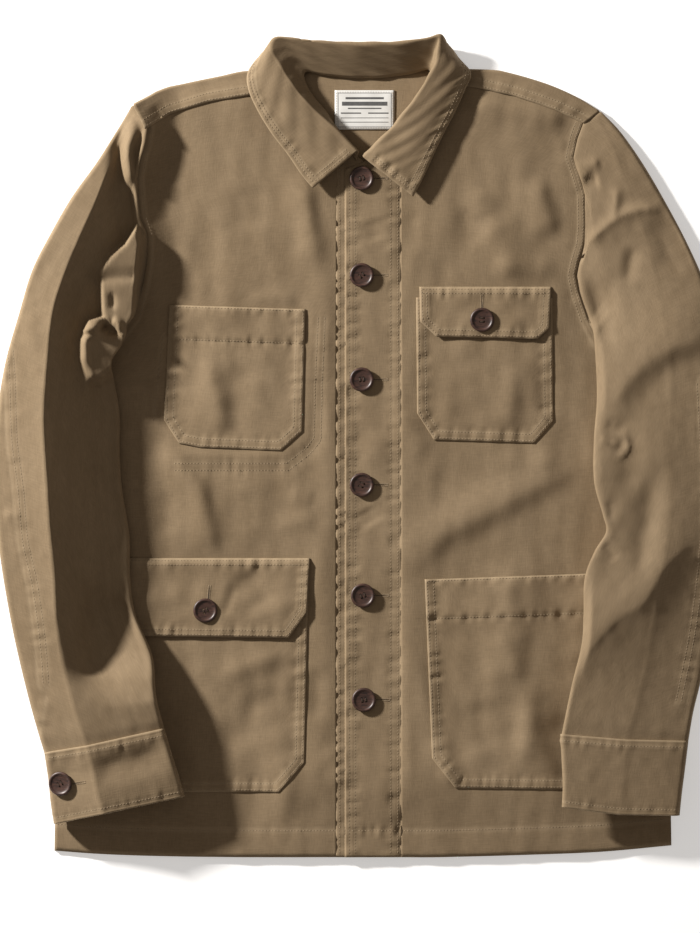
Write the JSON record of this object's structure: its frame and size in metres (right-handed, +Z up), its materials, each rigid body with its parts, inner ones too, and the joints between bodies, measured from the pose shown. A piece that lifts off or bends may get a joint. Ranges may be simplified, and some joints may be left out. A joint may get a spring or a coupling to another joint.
{
  "type": "chore jacket",
  "caption": "Cloth chore jacket laid flat on its back: buttoned front, turned-down collar, long cuffed sleeves, patch pockets with and without flaps.",
  "frame": {"origin": "centre of the jacket's outline, on the flat surface it lies on", "axes": "+X towards the wearer's left sleeve, +Y from hem to collar, +Z up off the surface, out of the jacket's front"},
  "size_m": [0.6884, 0.7729, 0.0498],
  "materials": {
    "twill": "matte khaki cotton twill",
    "horn": "satin dark brown",
    "label": "smooth white woven tape"
  },
  "bodies": {
    "root": {"back": "twill", "front_right": "twill", "front_left": "twill", "band_right": "twill", "band_left": "twill", "chest_pocket_right": "twill", "chest_pocket_left": "twill", "chest_flap_left": "twill", "lower_pocket_right": "twill", "lower_flap_right": "twill", "lower_pocket_left": "twill", "sleeve_right_upper": "twill", "sleeve_right_under": "twill", "sleeve_left_upper": "twill", "sleeve_left_under": "twill", "cuff_right": "twill", "cuff_left": "twill", "collar": "twill", "button_front_1": "horn", "button_front_2": "horn", "button_front_3": "horn", "button_front_4": "horn", "button_front_5": "horn", "button_front_6": "horn", "button_chest": "horn", "button_lower": "horn", "button_cuff_right": "horn", "button_cuff_left": "horn", "neck_label": "label"}
  },
  "joints": []
}
